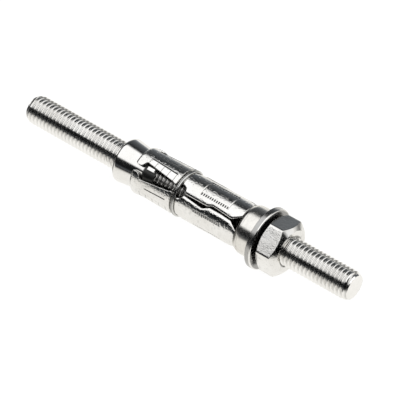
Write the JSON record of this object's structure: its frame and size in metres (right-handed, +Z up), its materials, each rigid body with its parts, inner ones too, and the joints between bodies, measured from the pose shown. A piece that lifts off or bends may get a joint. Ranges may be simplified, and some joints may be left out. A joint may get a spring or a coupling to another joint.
{
  "type": "shield anchor",
  "caption": "Projecting-bolt shield anchor: a nut draws a tapered expander on a threaded stud into a split shield, which spreads and grips in a drilled hole.",
  "frame": {"origin": "on the anchor's axis at the ferrule's outer face, which is the wall face when fitted", "axes": "+X along the axis out of the wall towards the nut and the stud's free end, +Z up, as in an upright wall"},
  "size_m": [0.13, 0.021, 0.021],
  "materials": {
    "bright_zinc": "bright zinc plate",
    "satin_zinc": "satin zinc plate",
    "spring_wire": "bright drawn wire"
  },
  "bodies": {
    "ferrule": {"ferrule": "satin_zinc", "washer": "bright_zinc", "retaining_ring": "spring_wire"},
    "stud": {"threaded_stud": "bright_zinc", "cone_nut": "bright_zinc"},
    "nut": {"hex_nut": "bright_zinc"},
    "segment_1": {"shield_segment_1": "bright_zinc"},
    "segment_2": {"shield_segment_2": "bright_zinc"},
    "segment_3": {"shield_segment_3": "bright_zinc"},
    "segment_4": {"shield_segment_4": "bright_zinc"}
  },
  "joints": [
    {"name": "nut_turn", "type": "hinge", "parent": "ferrule", "child": "nut", "pos_m": [0.0061, 0, 0], "axis": [-1, 0, 0], "range_deg": [0, 1440]},
    {"name": "stud_slide", "type": "slide", "parent": "ferrule", "child": "stud", "axis": [1, 0, 0], "range_m": [0, 0.006], "deforming": ["retaining_ring"]},
    {"name": "segment_1_open", "type": "hinge", "parent": "ferrule", "child": "segment_1", "pos_m": [-0.0036, 0.00024, 0.007], "axis": [0, 0.9994, -0.0349], "range_deg": [0, 1.35]},
    {"name": "segment_2_open", "type": "hinge", "parent": "ferrule", "child": "segment_2", "pos_m": [-0.0036, -0.007, 0.00024], "axis": [0, 0.0349, 0.9994], "range_deg": [0, 1.35]},
    {"name": "segment_3_open", "type": "hinge", "parent": "ferrule", "child": "segment_3", "pos_m": [-0.0036, -0.00024, -0.007], "axis": [0, -0.9994, 0.0349], "range_deg": [0, 1.35]},
    {"name": "segment_4_open", "type": "hinge", "parent": "ferrule", "child": "segment_4", "pos_m": [-0.0036, 0.007, -0.00024], "axis": [0, -0.0349, -0.9994], "range_deg": [0, 1.35]}
  ],
  "couplings": [
    {"joint": "nut_turn", "follows": "stud_slide", "rad_per_m": 4188.8},
    {"joint": "segment_1_open", "follows": "stud_slide", "rad_per_m": 3.927},
    {"joint": "segment_2_open", "follows": "stud_slide", "rad_per_m": 3.927},
    {"joint": "segment_3_open", "follows": "stud_slide", "rad_per_m": 3.927},
    {"joint": "segment_4_open", "follows": "stud_slide", "rad_per_m": 3.927}
  ]
}
